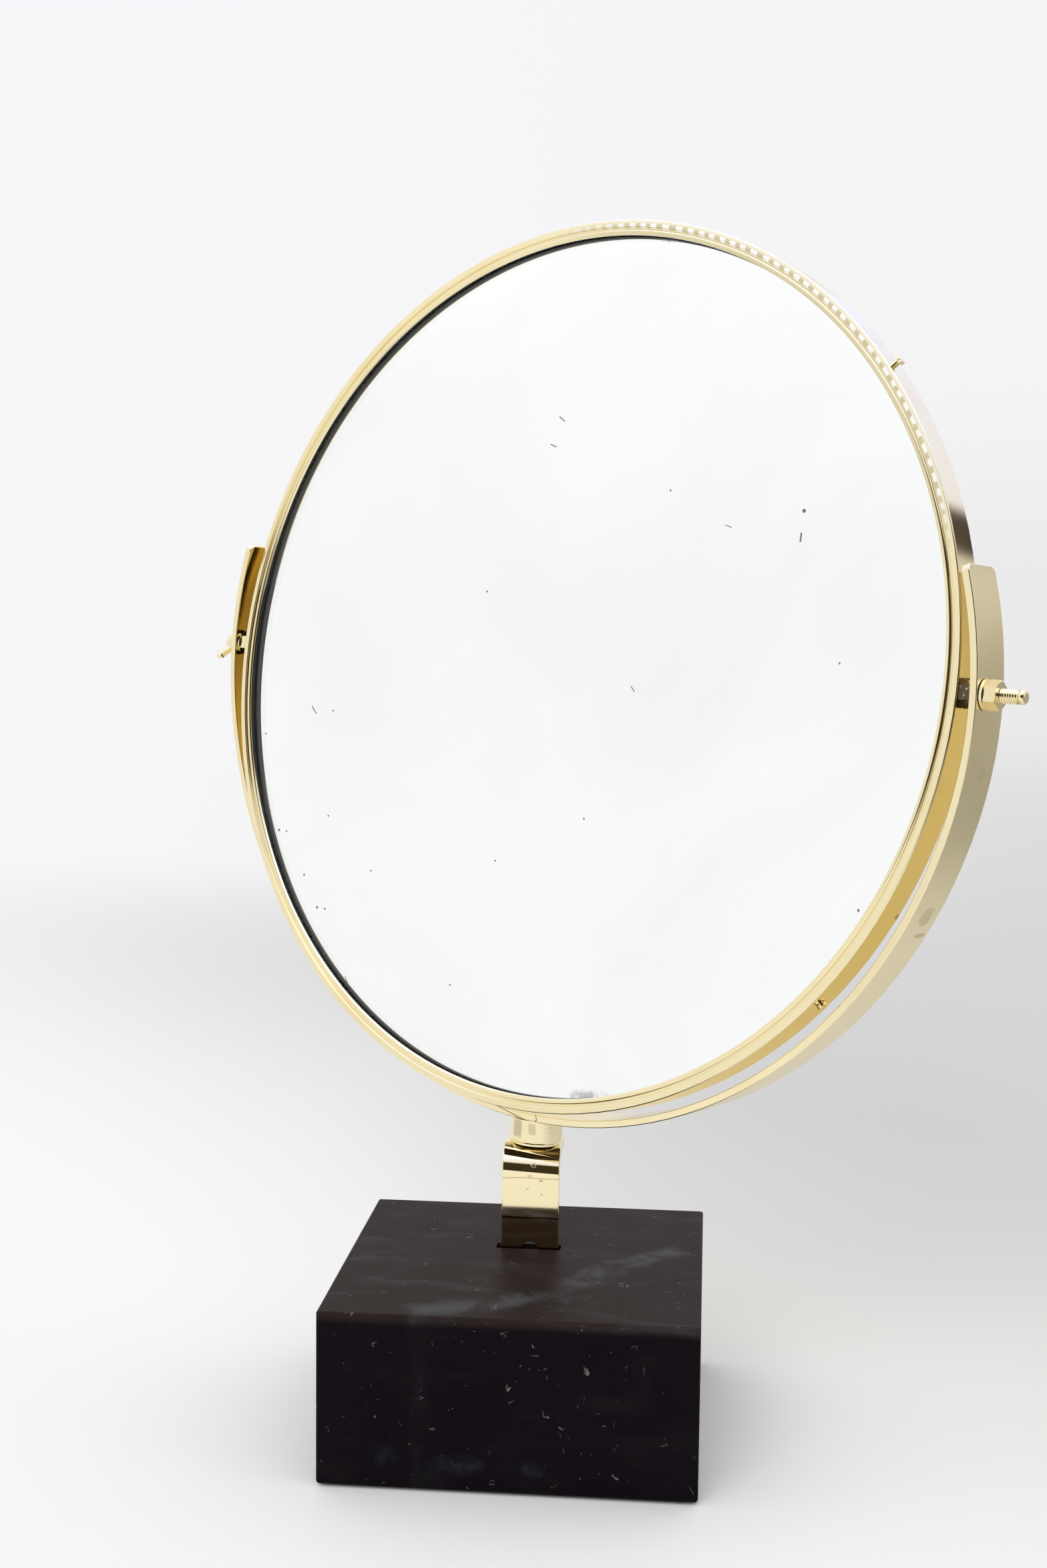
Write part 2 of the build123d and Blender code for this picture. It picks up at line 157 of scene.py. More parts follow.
class Finish:
    """A material or the world, whose nodes are all made by one method."""

    def __init__(self, name, tree=None):
        self.material = None
        if tree is None:
            self.material = bpy.data.materials.new(name)
            self.material.use_nodes = True
            tree = self.material.node_tree
        self.tree = tree
        self.tree.nodes.clear()

    def make(self, kind, settings=None, inputs=None, out=0):
        """Adds a node of a type, with its settings first and then its sockets' values or links."""
        node = self.tree.nodes.new(kind)
        for name, value in (settings or {}).items():
            if name == "stops":
                self.set_stops(node.color_ramp, value)
            else:
                setattr(node, name, value)
        for name, value in (inputs or {}).items():
            if isinstance(value, Flow):
                self.tree.links.new(value.socket, node.inputs[name])
            else:
                node.inputs[name].default_value = value
        return Flow(self, node.outputs[out]) if node.outputs else node

    @staticmethod
    def set_stops(ramp, stops):
        while len(ramp.elements) < len(stops):
            ramp.elements.new(1.0)
        for element, (position, colour) in zip(ramp.elements, stops):
            element.position = position
            element.color = (*colour, 1.0)

    def place(self, origin=None):
        """The point on the object, in metres in the frame, or from an origin."""
        point = self.make("ShaderNodeTexCoord", out="Object")
        return point if origin is None else point - tuple(origin)

    def mix(self, factor, first, second):
        """A colour from the first to the second as the factor goes from 0 to 1."""
        first, second = [(*c, 1.0) if isinstance(c, tuple) else c for c in (first, second)]
        inputs = {0: factor, 6: first, 7: second}
        return self.make("ShaderNodeMix", {"data_type": "RGBA"}, inputs, out=2)

    def noise(self, vector, size, detail=3.0, rough=0.5, twist=0.0):
        """Soft noise from 0 to 1 with features of a size in metres."""
        inputs = {
            "Vector": vector, "Scale": 1.0 / size, "Detail": detail, "Roughness": rough,
            "Distortion": twist,
        }
        return self.make("ShaderNodeTexNoise", None, inputs)

    def vector(self, x, y, z):
        return self.make("ShaderNodeCombineXYZ", None, {"X": x, "Y": y, "Z": z})

    def bump(self, height, depth, below=None):
        """A surface normal that rises by height, from 0 to 1, times depth in metres."""
        inputs = {"Height": height, "Distance": depth, "Strength": 1.0}
        if below is not None:
            inputs["Normal"] = below
        return self.make("ShaderNodeBump", None, inputs)

    def shader(self, **inputs):
        """A Principled shader, with its sockets named in words."""
        named = {name.replace("_", " "): value for name, value in inputs.items()}
        return self.make("ShaderNodeBsdfPrincipled", None, named)

    def done(self, shader):
        self.make("ShaderNodeOutputMaterial", None, {"Surface": shader})
        return self.material

    def surface(self, **inputs):
        return self.done(self.shader(**inputs))


def head_point(finish, up=mirror_up, out=mirror_out):
    """The point on the head as flows: across, up and out from the pivots, in metres."""
    point = finish.place(pivot)
    return point.along(tuple(across)), point.along(tuple(up)), point.along(tuple(out))


def spot_mark(finish, x, y, centre, size, ragged=0.35, power=2.0, full=0.75):
    """1 on a spot with a ragged edge, falling to 0 outside it. Size is its half width and
    height, a higher power squares it up, and full is the share of it that has full strength."""
    over = abs((x - centre[0]) / size[0])
    up = abs((y - centre[1]) / size[1])
    rough = finish.noise(finish.vector(x, y, 0.0), min(size) * 0.9, 3.0, 0.6) - 0.5
    away = (over ** power + up ** power) ** (1 / power) + rough * ragged * 2
    return away.rise(1.1, full)


def line_mark(finish, x, y, start, end, width, full=0.4):
    """1 on a straight scratch between two points of a plane, falling to 0 past its width."""
    run = Vector(end) - Vector(start)
    length = max(run.length, 0.05 * MM)
    run = run / length
    along = (x - start[0]) * run.x + (y - start[1]) * run.y
    off = (y - start[1]) * run.x - (x - start[0]) * run.y
    past = abs(along - length / 2) - length / 2
    return abs(off).most(past).rise(width, width * full)


def gather(marks):
    """The strongest of several marks."""
    whole = marks[0]
    for mark in marks[1:]:
        whole = whole.most(mark)
    return whole


def angle_of(finish, over, up):
    """The angle of (over, up) in radians, from over towards up."""
    return finish.make("ShaderNodeMath", {"operation": "ARCTAN2"}, {0: up, 1: over})


# Finishes

BRASS_LIGHT = (0.90, 0.79, 0.50)
BRASS_DEEP = (0.83, 0.67, 0.36)
# Painted reflection: the deeper gold given to the yoke's inner face
BRASS_PAINTED_INSIDE_REFLECTION = (0.84, 0.66, 0.28)
# Tarnish, which also serves as painted shade in the band's dark spot
BRASS_TARNISH_AND_SHADE = (0.30, 0.20, 0.09)
# Painted sheen, painted dark reflection and painted glints, for the band's upper right
BRASS_PAINTED_SHEEN = (0.93, 0.89, 0.76)
BRASS_PAINTED_DARK_REFLECTION = (0.50, 0.45, 0.27)
BRASS_PAINTED_GLINT = (0.99, 0.985, 0.97)


def polished_brass(name, lines=None, gloss=0.07, depth=0.003 * MM, marks=None):
    """Old polished brass: faint clouds of deeper gold, fine rubbing lines, specks of tarnish."""
    finish = Finish(name)
    point = finish.place()
    clouds = finish.noise(point, 38 * MM, 3.0, 0.6).rise(0.42, 0.72)
    specks = finish.noise(point, 1.4 * MM, 2.0, 0.7).rise(0.72, 0.80)
    speck_zone = finish.noise(point, 24 * MM, 2.0, 0.5).rise(0.55, 0.68)
    tarnish = specks * speck_zone
    rubbed = lines(finish) if lines else finish.noise(point, 0.9 * MM, 2.0, 0.6)
    colour = finish.mix(clouds * 0.35, BRASS_LIGHT, BRASS_DEEP)
    colour = finish.mix(tarnish * 0.5, colour, BRASS_TARNISH_AND_SHADE)
    roughness = gloss + clouds * 0.02 + (rubbed - 0.5) * gloss * 0.6 + tarnish * 0.3
    normal = finish.bump(rubbed, depth)
    if marks:
        colour, roughness, normal = marks(finish, colour, roughness, normal)
    return finish.surface(
        Base_Color=colour, Metallic=1.0, Roughness=roughness.most(0.02), Normal=normal
    )


def round_the_head(finish):
    """Rubbing lines that run along the band and the rings."""
    x, y, z = head_point(finish)
    away = (x * x + y * y) ** 0.5
    return finish.noise(finish.vector(away, z, x * 0.004), 0.25 * MM, 2.0, 0.5)


# The painted glints on the upper right of the band: how far one is from the next, the angles
# from the right pivot in radians over which they start and end, and the radius at which
# lengths along the band are measured
GLINT_SPACING = 6.0 * MM
GLINT_START = (0.22, 0.45)
GLINT_END = (1.80, 1.40)
BAND_ROUND = 188 * MM
# A spot of painted shade on the band: (along from the right pivot, forward), and half size
BAND_SHADE_SPOT = (-88 * MM, -9 * MM)
BAND_SHADE_SPOT_SIZE = (1.5 * MM, 3.0 * MM)


def painted_band_glints(finish, colour, roughness, normal):
    """Painted light on the band's upper right and its beads: nearly white painted glints, a paler edge
    and darker olive tracks for what the brass reflects; a slow bump; one spot of painted shade on the band."""
    x, y, z = head_point(finish)
    angle = angle_of(finish, x, y)
    along = angle * BAND_ROUND
    away = (x * x + y * y) ** 0.5
    rim = radii("front_retaining_ring", mirror_out)[1]
    slow = finish.noise(finish.vector(along, 0.0, 4.0), 40 * MM, 2.0, 0.5)
    drift = finish.noise(finish.vector(along, 0.0, 9.0), 16 * MM, 1.0, 0.5)
    turns = along * (2 * math.pi / GLINT_SPACING) + drift * 6.0
    ripple = finish.make("ShaderNodeMath", {"operation": "SINE"}, {0: turns})
    zone = angle.rise(*GLINT_START) * angle.rise(*GLINT_END)
    front = finish.make("ShaderNodeTexCoord", out="Normal").along(tuple(mirror_out)).rise(0.1, 0.4)
    track = away.rise(rim - 0.5 * MM, rim - 0.1 * MM) * away.rise(rim + 1.7 * MM, rim + 1.3 * MM)
    outer = away.rise(rim - 0.2 * MM, rim + 0.2 * MM)
    painted_glints = ripple.rise(-0.3, 0.1) * zone * front * track
    normal = finish.bump(slow, 0.03 * MM, normal)
    # Painted shade: a dark spot on the band where a band of shadow falls across it
    painted_shade_spot = spot_mark(finish, along, z, BAND_SHADE_SPOT, BAND_SHADE_SPOT_SIZE, 0.6)
    # Painted light: a paler edge and darker olive tracks stand for the bright and dark things the band
    # reflects, and the near white dashes are painted glints
    colour = finish.mix(zone * front * outer * 0.5, colour, BRASS_PAINTED_SHEEN)
    colour = finish.mix(zone * (1 - outer) * 0.35, colour, BRASS_PAINTED_DARK_REFLECTION)
    colour = finish.mix(zone * front * track * 0.6, colour, BRASS_PAINTED_DARK_REFLECTION)
    colour = finish.mix(painted_glints, colour, BRASS_PAINTED_GLINT)
    colour = finish.mix(painted_shade_spot * 0.7, colour, BRASS_TARNISH_AND_SHADE)
    return colour, roughness + painted_shade_spot * 0.2 + painted_glints * 0.1, normal


# The radius at which lengths along the yoke are measured
YOKE_ROUND = 198 * MM
# Stains on the yoke's outer face: (down from the right pivot, forward of the pivots), half
# size, strength
YOKE_STAINS = [
    ((88 * MM, -5 * MM), (4.5 * MM, 5 * MM), 0.32),
    ((97 * MM, -9 * MM), (1.2 * MM, 4.5 * MM), 0.40),
    ((30 * MM, -6 * MM), (3 * MM, 3 * MM), 0.10),
]
# A dark line scratched in the yoke's front over the collar: (across, up) from the pivots
YOKE_KINK = [(-16 * MM, -193 * MM), (-2 * MM, -196 * MM), (6 * MM, -197.4 * MM),
             (8.4 * MM, -195.4 * MM), (7 * MM, -193 * MM)]


def across_the_bar(finish):
    """Brushing lines that run across the yoke's width."""
    x, y, z = head_point(finish, upright, yoke_out)
    length = angle_of(finish, -y, x) * YOKE_ROUND
    return finish.noise(finish.vector(length, z * 0.05, 0.0), 0.4 * MM, 3.0, 0.7)


def yoke_wear_and_reflection(finish, colour, roughness, normal):
    """Satin brushing on the outer face, a deeper gold on the inner face as painted reflection of the brass
    band it faces, and the old stains.
    """
    x, y, z = head_point(finish, upright, yoke_out)
    facing = finish.make("ShaderNodeTexCoord", out="Normal")
    sideways = facing.along(tuple(across))
    upwards = facing.along(tuple(upright))
    outward = (x * sideways + y * upwards) / (x * x + y * y) ** 0.5
    outer_face = outward.rise(0.4, 0.8)
    inner_face = outward.rise(-0.4, -0.8)
    # Painted reflection: the inner face is made a deeper gold for the brass band it faces
    colour = finish.mix(inner_face, colour, BRASS_PAINTED_INSIDE_REFLECTION)
    roughness = roughness + outer_face * 0.16
    down = angle_of(finish, x, -y) * YOKE_ROUND
    stains = gather([spot_mark(finish, down, z, centre, size, 0.6) * strength
                     for centre, size, strength in YOKE_STAINS]) * outer_face
    kink = gather([line_mark(finish, x, y, start, end, 0.28 * MM)
                   for start, end in zip(YOKE_KINK, YOKE_KINK[1:])])
    kink = kink * z.rise(4 * MM, 6 * MM)
    colour = finish.mix(stains, colour, BRASS_TARNISH_AND_SHADE)
    colour = finish.mix(kink * 0.8, colour, BRASS_TARNISH_AND_SHADE)
    return colour, roughness + stains * 0.25, finish.bump(kink, 0.1 * MM, normal)


def inner_nut_painted_dark(finish, colour, roughness, normal):
    """Dark colour painted in patches on the right pivot's inner nut, a painted dark reflection."""
    side = finish.place(pivot).along(tuple(across)).rise(0.0, 5 * MM)
    patchy = finish.noise(finish.place(), 1.8 * MM, 3.0, 0.6).rise(0.25, 0.45)
    # Painted reflection: the nut's near black patches stand for the dark it reflects
    colour = finish.mix(side * patchy * 0.92, colour, (0.045, 0.028, 0.018))
    return colour, roughness + side * patchy * 0.25, normal


def turned_lines(finish):
    """Tool lines round a turned piece whose axis is the swivel's."""
    rise = finish.place(Vector(joints["swivel"]["pos_m"])).along(tuple(upright))
    return finish.noise(finish.vector(0.0, 0.0, rise), 0.3 * MM, 2.0, 0.6)


# Pits in the stem's front: (right, up), half size. Then the heights of a thin dark line where its
# bend begins, and of a near black line low down, a painted reflection of the block's front edge.
STEM_PITS = [
    ((2.0 * MM, 106.5 * MM), (1.1 * MM, 0.9 * MM)),
    ((0.4 * MM, 102.1 * MM), (0.8 * MM, 0.4 * MM)),
    ((5.3 * MM, 100.2 * MM), (0.7 * MM, 0.5 * MM)),
    ((-0.4 * MM, 96.6 * MM), (0.5 * MM, 0.35 * MM)),
    ((5.7 * MM, 94.2 * MM), (0.45 * MM, 0.3 * MM)),
]
STEM_BEND_LINE = 101.0 * MM
STEM_REFLECTED_EDGE = 84.0 * MM


def stem_wear_and_reflection(finish, colour, roughness, normal):
    """Pits, a thin dark line at the bend and a slow wave in the stem's front; below a near black line it is
    painted browner, a painted reflection of the marble block.
    """
    point = finish.place()
    x = point.along((1, 0, 0))
    z = point.along((0, 0, 1))
    sway = (finish.noise(point, 12 * MM, 1.0, 0.4) - 0.5) * 1.2 * MM
    pits = gather([spot_mark(finish, x, z, centre, size, 0.5) for centre, size in STEM_PITS])
    bend_line = abs(z + sway - STEM_BEND_LINE).rise(0.35 * MM, 0.10 * MM)
    reflected_edge = abs(z + sway - STEM_REFLECTED_EDGE).rise(0.55 * MM, 0.25 * MM)
    foot = (z + sway).rise(STEM_REFLECTED_EDGE + 0.4 * MM, STEM_REFLECTED_EDGE - 0.4 * MM)
    wave = finish.noise(point * (0.35, 1.0, 1.0), 16 * MM, 1.0, 0.4)
    normal = finish.bump(wave, 0.04 * MM, normal)
    normal = finish.bump(pits, 0.10 * MM, normal)
    colour = finish.mix(pits * 0.15, colour, BRASS_TARNISH_AND_SHADE)
    # Painted reflection: the browner lower part and the near black line stand for the marble block and its
    # front edge mirrored in the stem
    colour = finish.mix(foot * 0.55, colour, (0.46, 0.30, 0.13))
    colour = finish.mix(bend_line * 0.55, colour, BRASS_TARNISH_AND_SHADE)
    colour = finish.mix(reflected_edge * 0.9, colour, (0.05, 0.03, 0.015))
    return colour, roughness + pits * 0.1, normal


# The radius at which lengths round the collar are measured
COLLAR_ROUND = 11.4 * MM
# Patches on the collar: (round to the right, up), half size, strength
COLLAR_PATCHES = [
    ((-8.4 * MM, 7.0 * MM), (2.9 * MM, 4.0 * MM), 0.62),
    ((-0.8 * MM, 7.5 * MM), (1.8 * MM, 2.6 * MM), 0.50),
]
# Where the collar is specked: (round to the right, up), and half size
COLLAR_SPECKS = (7.5 * MM, 7 * MM)
COLLAR_SPECKS_SIZE = (1.6 * MM, 5 * MM)


def collar_marks(finish, colour, roughness, normal):
    """Grey patches on the collar, and fine dark specks on its right."""
    point = finish.place(Vector(joints["swivel"]["pos_m"]))
    right = point.along((1, 0, 0))
    front = point.along((0, -1, 0))
    rise = point.along(tuple(upright))
    around = angle_of(finish, front, right) * COLLAR_ROUND
    patches = gather([spot_mark(finish, around, rise, centre, size, 0.1, 6.0) * strength
                      for centre, size, strength in COLLAR_PATCHES])
    specks = finish.noise(point, 1.1 * MM, 3.0, 0.7).rise(0.58, 0.66)
    specks = specks * spot_mark(finish, around, rise, COLLAR_SPECKS, COLLAR_SPECKS_SIZE, 0.3)
    colour = finish.mix(patches, colour, (0.42, 0.37, 0.25))
    colour = finish.mix(specks * 0.6, colour, BRASS_TARNISH_AND_SHADE)
    return colour, roughness + patches * 0.1, normal


# The heights over which the block's black sides give way to its top, painted lighter and browner as painted
# sheen
TOP_TONE_HEIGHTS = (66 * MM, 70 * MM)
# The vein over the marble's top: (right, back) from the block's middle
MARBLE_VEIN = [(-33 * MM, -68 * MM), (2 * MM, -50 * MM), (18 * MM, -43 * MM), (38 * MM, -8 * MM),
               (62 * MM, 12 * MM)]
# Bluish clouds in the block's front: (right, up), half size, strength
FRONT_CLOUDS = [
    ((-18 * MM, 12 * MM), (13 * MM, 5 * MM), 0.60),
    ((10 * MM, 11 * MM), (6 * MM, 4 * MM), 0.45),
    ((-48 * MM, 14 * MM), (8 * MM, 7 * MM), 0.25),
]


def black_marble():
    """Honed black marble whose top is painted lighter and browner as painted sheen: a grey vein over the
    top, short curved threads, and flecks.
    """
    finish = Finish("black_marble")
    point = finish.place()
    bend = finish.noise(point, 30 * MM, 3.0, 0.55) - 0.5
    right, back, up = (point.along(way) for way in ((1, 0, 0), (0, 1, 0), (0, 0, 1)))
    top = up.rise(*TOP_TONE_HEIGHTS)
    x = right + bend * 14 * MM
    y = back - bend * 14 * MM
    broken = finish.noise(point, 22 * MM, 4.0, 0.65, 1.0).rise(0.30, 0.58)
    vein = gather([line_mark(finish, x, y, start, end, 10 * MM, 0.0)
                   for start, end in zip(MARBLE_VEIN, MARBLE_VEIN[1:])]) * broken
    haze = finish.noise(point * (0.5, 1.0, 1.0), 34 * MM, 4.0, 0.6, 1.2).rise(0.50, 0.72)
    smoke = vein.most(haze * 0.40) * (top * 0.85 + 0.15)
    clouds = gather([spot_mark(finish, right, up, centre, size, 0.6, full=0.0) * strength
                     for centre, size, strength in FRONT_CLOUDS])
    clouds = clouds * (1 - top) * finish.noise(point, 5 * MM, 4.0, 0.7).rise(0.30, 0.65)
    curl = finish.noise(point, 9 * MM, 2.0, 0.5, 0.8)
    threads = abs(curl - 0.5).rise(0.014, 0.003)
    threads = threads * finish.noise(point + (0.1, 0.2, 0.0), 7 * MM, 2.0, 0.5).rise(0.63, 0.68)
    flecks = finish.noise(point * (0.6, 1.0, 1.0), 2.4 * MM, 2.0, 0.55, 0.6).rise(0.71, 0.76)
    flecks = flecks * finish.noise(point + (0.3, 0.0, 0.0), 22 * MM, 2.0, 0.5).rise(0.48, 0.60)
    dots = finish.noise(point, 1.2 * MM, 1.0, 0.5).rise(0.76, 0.81)
    dots = dots * finish.noise(point + (0.5, 0.0, 0.0), 26 * MM, 2.0, 0.5).rise(0.44, 0.60)
    drift = finish.noise(point, 45 * MM, 4.0, 0.6, 0.6)
    front_tone = finish.mix(drift, (0.0034, 0.0019, 0.0038), (0.0068, 0.0047, 0.0070))
    # Painted sheen: the top's tone is lighter and browner than the sides' for the pale room it reflects
    top_tone_painted_sheen = finish.mix(drift, (0.018, 0.0102, 0.0074), (0.026, 0.0185, 0.0175))
    colour = finish.mix(top, front_tone, top_tone_painted_sheen)
    colour = finish.mix(smoke * 0.80, colour, (0.075, 0.074, 0.083))
    colour = finish.mix(clouds, colour, (0.030, 0.032, 0.048))
    colour = finish.mix(threads * 0.55, colour, (0.22, 0.21, 0.21))
    colour = finish.mix(flecks * 0.40, colour, (0.15, 0.145, 0.15))
    colour = finish.mix(dots * 0.50, colour, (0.24, 0.22, 0.20))
    grain = finish.noise(point, 0.7 * MM, 3.0, 0.6)
    roughness = 0.38 + finish.noise(point, 20 * MM, 3.0, 0.6) * 0.12 + grain * 0.05
    return finish.surface(
        Base_Color=colour, Roughness=roughness, IOR=1.11, Normal=finish.bump(grain, 0.008 * MM)
    )


def dark_felt():
    finish = Finish("dark_felt")
    point = finish.place()
    fibre = finish.noise(point, 0.5 * MM, 4.0, 0.75, 2.0)
    colour = finish.mix(fibre, (0.012, 0.013, 0.012), (0.05, 0.052, 0.05))
    return finish.surface(
        Base_Color=colour, Roughness=0.95, Normal=finish.bump(fibre, 0.12 * MM)
    )


def bedding_resin():
    finish = Finish("bedding_resin")
    point = finish.place()
    pores = finish.noise(point, 0.8 * MM, 3.0, 0.6)
    colour = finish.mix(pores, (0.012, 0.011, 0.010), (0.035, 0.032, 0.03))
    return finish.surface(
        Base_Color=colour, Roughness=0.7, Normal=finish.bump(pores, 0.05 * MM)
    )


def plain_steel():
    finish = Finish("plain_steel")
    point = finish.place()
    grain = finish.noise(point, 0.4 * MM, 3.0, 0.7)
    colour = finish.mix(grain, (0.46, 0.45, 0.43), (0.60, 0.59, 0.57))
    return finish.surface(
        Base_Color=colour, Metallic=1.0, Roughness=0.22 + grain * 0.12,
        Normal=finish.bump(grain, 0.006 * MM),
    )


def black_rubber():
    """Black rubber, darkened at its lip as painted shade, and dusty grey against the glass."""
    finish = Finish("black_rubber")
    point = finish.place(pivot)
    grain = finish.noise(point, 0.6 * MM, 3.0, 0.6)
    lip_top = reach("glass_gasket", mirror_out)[1]
    deep = point.along(tuple(mirror_out)).rise(lip_top - 0.35 * MM, lip_top - 0.6 * MM)
    dusty = finish.mix(grain, (0.040, 0.040, 0.035), (0.055, 0.055, 0.048))
    # Painted shade: the rubber near the lip is made near black where shade falls under the bead
    black = finish.mix(grain, (0.004, 0.004, 0.004), (0.010, 0.010, 0.009))
    return finish.surface(
        Base_Color=finish.mix(deep, black, dusty), Roughness=0.55 + grain * 0.15,
        Normal=finish.bump(grain, 0.02 * MM),
    )


def back_board():
    """Fibreboard: fine short fibres in brown."""
    finish = Finish("back_board")
    point = finish.place()
    fibre = finish.noise(point * (1.0, 1.0, 3.0), 1.2 * MM, 4.0, 0.7, 1.0)
    colour = finish.mix(fibre, (0.10, 0.065, 0.035), (0.20, 0.14, 0.08))
    return finish.surface(
        Base_Color=colour, Roughness=0.8, Normal=finish.bump(fibre, 0.05 * MM)
    )


def clear_glass():
    """Clear glass with a little dust on its face and a ground grey edge."""
    finish = Finish("clear_glass")
    point = finish.place()
    dust = finish.noise(point, 0.8 * MM, 3.0, 0.7).rise(0.68, 0.85)
    clear = finish.shader(
        Base_Color=finish.mix(dust, (0.993, 0.998, 0.997), (0.95, 0.96, 0.96)),
        Roughness=dust * 0.015, IOR=1.5, Transmission_Weight=1.0,
    )
    grit = finish.noise(point, 0.35 * MM, 3.0, 0.7)
    ground = finish.shader(
        Base_Color=finish.mix(grit, (0.058, 0.059, 0.052), (0.080, 0.081, 0.071)),
        Roughness=0.6 + grit * 0.2,
    )
    x, y, _ = head_point(finish)
    edge = radii("mirror_glass", mirror_out)[1]
    at_edge = ((x * x + y * y) ** 0.5).rise(edge - 0.75 * MM, edge - 0.65 * MM)
    return finish.done(finish.make("ShaderNodeMixShader", None, {0: at_edge, 1: clear, 2: ground}))


def on_glass(x, y):
    """A place on the glass, in millimetres across and up from its middle."""
    return (x * MM, y * MM)


# Scratches in the silvering, each from a start to an end, with its width
SCRATCHES = [
    (on_glass(-15, 107), on_glass(-12, 105), 0.35 * MM),
    (on_glass(-18, 95), on_glass(-15, 94), 0.35 * MM),
    (on_glass(-143, -28), on_glass(-140, -31), 0.40 * MM),
    (on_glass(-101, -150), on_glass(-98, -154), 0.30 * MM),
    (on_glass(40, -7), on_glass(42, -9), 0.30 * MM),
    (on_glass(113, 58), on_glass(113, 55), 0.55 * MM),
    (on_glass(77, 61), on_glass(80, 60), 0.25 * MM),
]
# Black specks in the silvering, with their half sizes
SPECKS = [
    (on_glass(113, 67), 0.9 * MM), (on_glass(48, 75), 0.5 * MM), (on_glass(-44, 30), 0.5 * MM),
    (on_glass(137, 8), 0.5 * MM), (on_glass(24, -64), 0.5 * MM), (on_glass(-21, -87), 0.5 * MM),
    (on_glass(158, -85), 0.6 * MM), (on_glass(-38, -144), 0.5 * MM), (on_glass(-129, -29), 0.5 * MM),
    (on_glass(-172, -43), 0.5 * MM), (on_glass(-124, -78), 0.5 * MM), (on_glass(-155, -88), 0.7 * MM),
    (on_glass(-150, -88), 0.5 * MM), (on_glass(-135, -107), 0.6 * MM), (on_glass(-93, -100), 0.5 * MM),
    (on_glass(-124, -121), 0.7 * MM), (on_glass(-119, -121), 0.6 * MM),
]
# Places where the silvering is eaten away at the edge, with their half sizes
BITES = [
    (on_glass(52, -179), (19 * MM, 4.5 * MM)),
    (on_glass(34, 182), (8 * MM, 2.5 * MM)),
]


def silver_coat():
    """The mirror's silvering: bright, clouded with age, with black specks, fine scratches and
    grey bites at its edge."""
    finish = Finish("silver_coat")
    x, y, _ = head_point(finish)
    point = finish.vector(x, y, 0.0)
    clouds = finish.noise(point, 70 * MM, 4.0, 0.55, 0.8).rise(0.3, 0.75)
    dust = finish.noise(point, 1.6 * MM, 1.0, 0.5).rise(0.80, 0.84)
    dust = dust * finish.noise(point, 60 * MM, 1.0, 0.5).rise(0.5, 0.6)
    scratches = [line_mark(finish, x, y, start, end, width) for start, end, width in SCRATCHES]
    specks = [spot_mark(finish, x, y, centre, (size, size), 0.3) for centre, size in SPECKS]
    marks = gather([dust * 0.5] + scratches + specks)
    ragged = finish.noise(point, 5 * MM, 4.0, 0.65)
    bites = gather([spot_mark(finish, x, y, centre, size, 0.5) for centre, size in BITES])
    bites = bites * ragged.rise(0.35, 0.55)
    colour = finish.mix(clouds, (0.955, 0.970, 0.968), (0.975, 0.985, 0.984))
    colour = finish.mix(bites * 0.55, colour, (0.30, 0.31, 0.31))
    colour = finish.mix(marks * 0.8, colour, (0.02, 0.022, 0.02))
    return finish.surface(
        Base_Color=colour, Metallic=1.0, Roughness=0.01 + marks * 0.4 + bites * 0.2
    )


def assign(node, material):
    """Gives every material slot of a CAD node the one finish."""
    mesh = nodes[node].data
    if not mesh.materials:
        mesh.materials.append(material)
    for index in range(len(mesh.materials)):
        mesh.materials[index] = material


# Mesh pieces that stand for CAD nodes

def new_piece(name, corners, faces, material, node, smooth_deg=35):
    """A mesh that takes a CAD node's place, body and slot."""
    mesh = bpy.data.meshes.new(name)
    mesh.from_pydata([tuple(c) for c in corners], [], faces)
    mesh.validate()
    mesh.update()
    for face in mesh.polygons:
        face.use_smooth = True
    mesh.set_sharp_from_angle(angle=math.radians(smooth_deg))
    mesh.materials.append(material)
    piece = bpy.data.objects.new(name, mesh)
    bpy.context.scene.collection.objects.link(piece)
    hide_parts(node)
    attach(piece, nodes[node]["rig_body"])
    return piece


def turned(outline, axis, side, origin, steps, closed=False):
    """Corners and faces of an outline of (radius, height) turned about an axis. An outline
    that starts or ends at radius 0 closes there, and a closed one joins its end to its start."""
    other = axis.cross(side).normalized()
    corners, rings, faces = [], [], []
    for radius, height in outline:
        ring = []
        count = 1 if radius == 0 else steps
        for step in range(count):
            turn = 2 * math.pi * step / steps
            way = side * math.cos(turn) + other * math.sin(turn)
            corners.append(origin + way * radius + axis * height)
            ring.append(len(corners) - 1)
        rings.append(ring)
    following_rings = rings[1:] + rings[:1] if closed else rings[1:]
    for low, high in zip(rings, following_rings):
        for step in range(steps):
            following = (step + 1) % steps
            square = [low[step % len(low)], low[following % len(low)],
                      high[following % len(high)], high[step % len(high)]]
            face = list(dict.fromkeys(square))
            if len(face) > 2:
                faces.append(face)
    return corners, faces


# How far the glass's edges are eased, and how far it is sunk towards the silvering
GLASS_EASE = 0.5 * MM
GLASS_SUNK = 0.04 * MM


def glass_pane(material):
    """The glass, with eased edges, a hair deeper than the silvering's face behind it."""
    low, high = reach("mirror_glass", mirror_out)
    _, radius = radii("mirror_glass", mirror_out)
    low, high = low - GLASS_SUNK, high - GLASS_SUNK
    eased = radius - GLASS_EASE
    outline = [(0, low), (eased, low), (radius, low + GLASS_EASE), (radius, high - GLASS_EASE),
               (eased, high), (0, high)]
    corners, faces = turned(outline, mirror_out, across, pivot, 240)
    return new_piece("glass_pane", corners, faces, material, "mirror_glass", 20)


